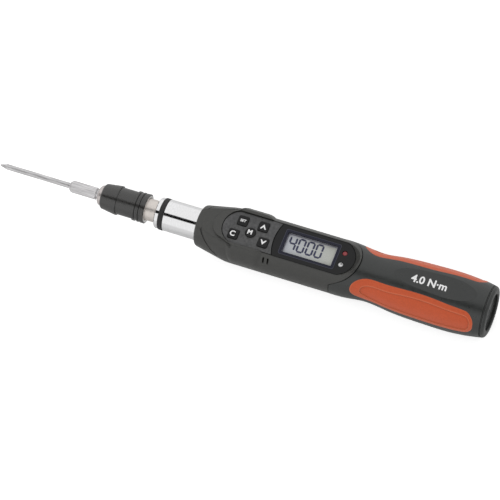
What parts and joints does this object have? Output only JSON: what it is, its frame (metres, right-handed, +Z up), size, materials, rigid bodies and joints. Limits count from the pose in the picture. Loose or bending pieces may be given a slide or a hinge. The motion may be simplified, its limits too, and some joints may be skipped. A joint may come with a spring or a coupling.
{
  "type": "torque screwdriver",
  "caption": "Digital torque screwdriver: slim cross-tip bit in a quick-release chuck, plated barrel, housing with keypad and display, rubber handle with orange grip pads and a battery cap.",
  "frame": {"origin": "middle of the tool's length on the plane of the flats that it lies on, below its axis", "axes": "+X along the axis from bit to handle end, +Z up through the display"},
  "size_m": [0.2898, 0.0336, 0.0319],
  "materials": {
    "bit_steel": "satin steel",
    "spindle_steel": "satin steel",
    "shaft_steel": "warm satin steel",
    "clip_steel": "bright steel",
    "sleeve_black": "black satin",
    "plated": "polished plate",
    "seal_rubber": "matte rubber",
    "bush_bronze": "bronze",
    "gauge_film": "film",
    "housing_black": "fine-grained black plastic",
    "plate_grey": "grainy dark grey plastic",
    "key_black": "near-black rubber-touch plastic",
    "bezel_gloss": "gloss black",
    "window_clear": "clear pane",
    "lcd_grey": "light grey display",
    "holder_black": "black plastic",
    "lamp_red": "clear red",
    "lamp_white": "milky white",
    "board_green": "lacquered board",
    "screw_steel": "blackened steel",
    "handle_rubber": "matte charcoal rubber",
    "pad_orange": "matte orange rubber",
    "cell_wrap": "wrapped cell",
    "cap_black": "satin black plastic"
  },
  "bodies": {
    "tool": {"bit": "bit_steel", "chuck_spindle": "spindle_steel", "torsion_shaft": "shaft_steel", "detent_balls": "shaft_steel", "cross_pin": "shaft_steel", "chuck_spring": "shaft_steel", "contact_springs": "shaft_steel", "retaining_clip": "clip_steel", "front_collar": "plated", "front_tube": "plated", "seal_ring": "seal_rubber", "shaft_bush": "bush_bronze", "strain_gauges": "gauge_film", "body_housing": "housing_black", "keypad_plate": "plate_grey", "display_bezel": "bezel_gloss", "display_window": "window_clear", "lcd_module": "lcd_grey", "lcd_holder": "holder_black", "buzzer": "holder_black", "key_switches": "holder_black", "led_red": "lamp_red", "led_white": "lamp_white", "circuit_board": "board_green", "contact_board": "board_green", "housing_screws": "screw_steel", "handle_body": "handle_rubber", "grip_pad_left": "pad_orange", "grip_pad_right": "pad_orange", "battery_cells": "cell_wrap"},
    "sleeve": {"chuck_sleeve": "sleeve_black"},
    "unit_key": {"button_unit": "key_black"},
    "clear_key": {"button_clear": "key_black"},
    "mode_key": {"button_mode": "key_black"},
    "up_key": {"button_up": "key_black"},
    "down_key": {"button_down": "key_black"},
    "cap": {"end_cap": "cap_black", "cap_seal": "seal_rubber", "cap_contact": "bush_bronze"}
  },
  "joints": [
    {"name": "sleeve_slide", "type": "slide", "parent": "tool", "child": "sleeve", "axis": [1, 0, 0], "range_m": [0, 0.0035], "stiffness_N_per_m": 500, "springref_m": -0.006, "deforming": ["chuck_spring"]},
    {"name": "unit_press", "type": "slide", "parent": "tool", "child": "unit_key", "axis": [0, 0, -1], "range_m": [0, 0.0004], "stiffness_N_per_m": 1500, "springref_m": -0.0003},
    {"name": "clear_press", "type": "slide", "parent": "tool", "child": "clear_key", "axis": [0, 0, -1], "range_m": [0, 0.0004], "stiffness_N_per_m": 1500, "springref_m": -0.0003},
    {"name": "mode_press", "type": "slide", "parent": "tool", "child": "mode_key", "axis": [0, 0, -1], "range_m": [0, 0.0004], "stiffness_N_per_m": 1500, "springref_m": -0.0003},
    {"name": "up_press", "type": "slide", "parent": "tool", "child": "up_key", "axis": [0, 0, -1], "range_m": [0, 0.0004], "stiffness_N_per_m": 1500, "springref_m": -0.0003},
    {"name": "down_press", "type": "slide", "parent": "tool", "child": "down_key", "axis": [0, 0, -1], "range_m": [0, 0.0004], "stiffness_N_per_m": 1500, "springref_m": -0.0003},
    {"name": "cap_turn", "type": "hinge", "parent": "tool", "child": "cap", "pos_m": [0.13535, 0, 0.015], "axis": [1, 0, 0], "range_deg": [0, 60]}
  ]
}
